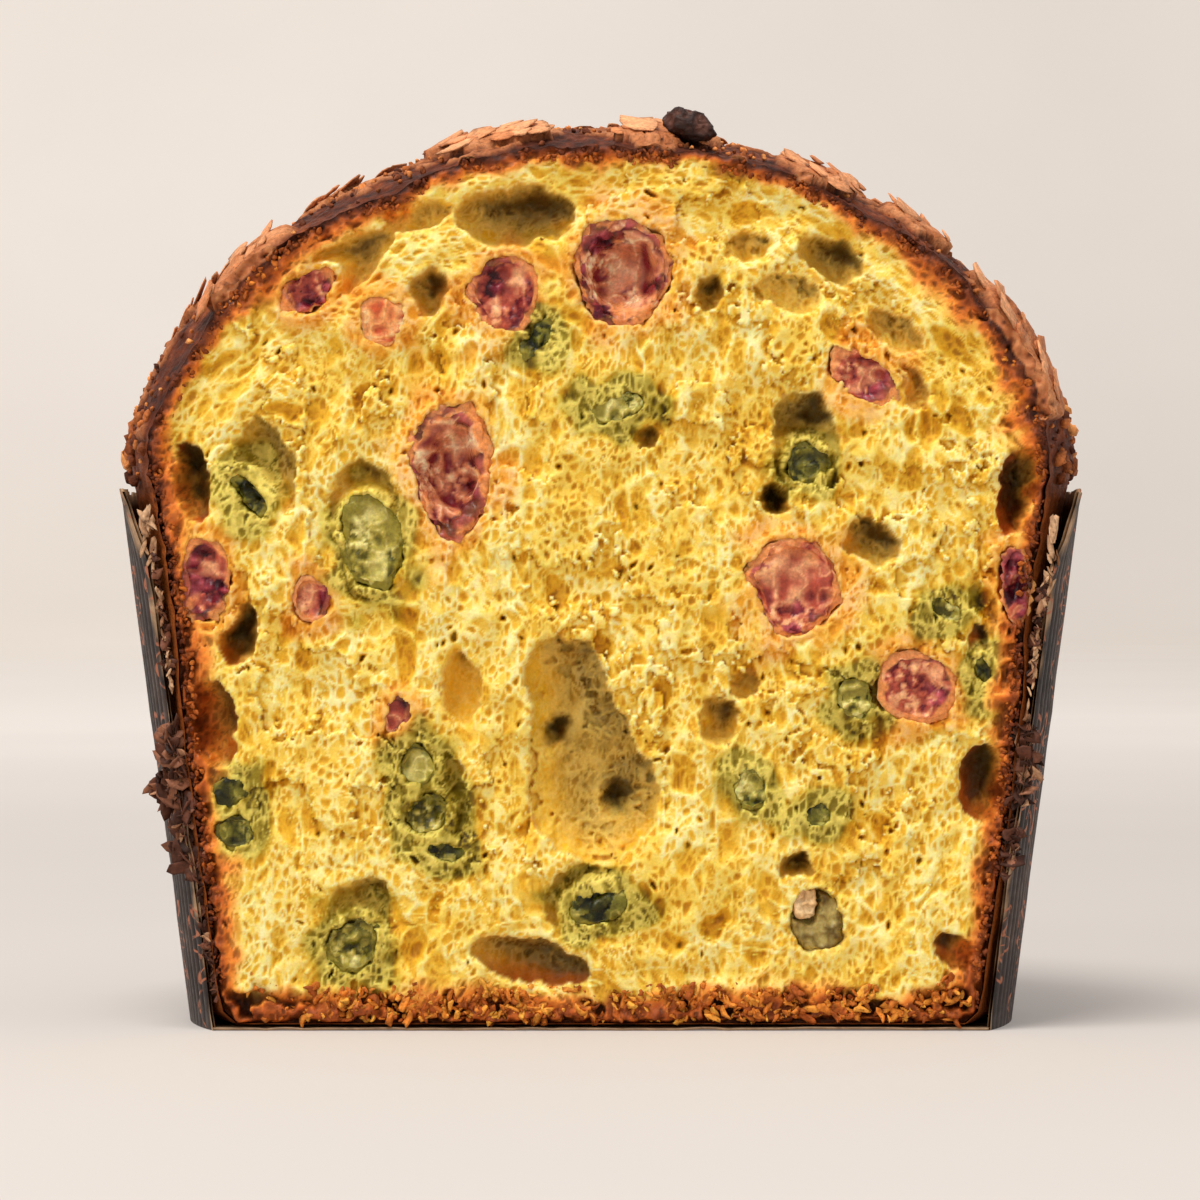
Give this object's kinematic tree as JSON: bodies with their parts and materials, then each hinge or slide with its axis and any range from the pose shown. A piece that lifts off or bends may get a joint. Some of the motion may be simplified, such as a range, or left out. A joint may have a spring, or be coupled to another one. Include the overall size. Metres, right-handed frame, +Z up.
{
  "type": "panettone",
  "caption": "Tall sweet bread in a ribbed paper case, cut upright to show open yellow crumb with candied fruit under a domed, glazed crust.",
  "frame": {"origin": "middle of the round base of the paper case, on the surface it stands on", "axes": "+Z up, the cut face looks along -Y, +X to the right as the cut face is seen"},
  "size_m": [0.198, 0.133, 0.1854],
  "materials": {
    "crumb": "soft open crumb",
    "crust": "browned crust",
    "glaze": "porous baked almond glaze",
    "paper": "ribbed greaseproof paper with copper print",
    "red_fruit": "moist candied fruit",
    "green_fruit": "moist candied fruit",
    "raisin": "wrinkled skin",
    "nut": "chopped nut"
  },
  "bodies": {
    "root": {"case": "paper", "bread": "crumb", "raisin_top": "raisin", "raisin_01": "raisin", "nut_01": "nut", "red_fruit_01": "red_fruit", "red_fruit_02": "red_fruit", "red_fruit_03": "red_fruit", "red_fruit_04": "red_fruit", "red_fruit_05": "red_fruit", "red_fruit_06": "red_fruit", "red_fruit_07": "red_fruit", "red_fruit_08": "red_fruit", "red_fruit_09": "red_fruit", "red_fruit_10": "red_fruit", "red_fruit_11": "red_fruit", "red_fruit_12": "red_fruit", "green_fruit_01": "green_fruit", "green_fruit_02": "green_fruit", "green_fruit_03": "green_fruit", "green_fruit_04": "green_fruit", "green_fruit_05": "green_fruit", "green_fruit_06": "green_fruit", "green_fruit_07": "green_fruit", "green_fruit_08": "green_fruit", "green_fruit_09": "green_fruit", "green_fruit_10": "green_fruit", "green_fruit_11": "green_fruit", "green_fruit_12": "green_fruit", "green_fruit_13": "green_fruit", "green_fruit_14": "green_fruit", "green_fruit_15": "green_fruit", "green_fruit_16": "green_fruit", "green_fruit_17": "green_fruit"}
  },
  "joints": []
}
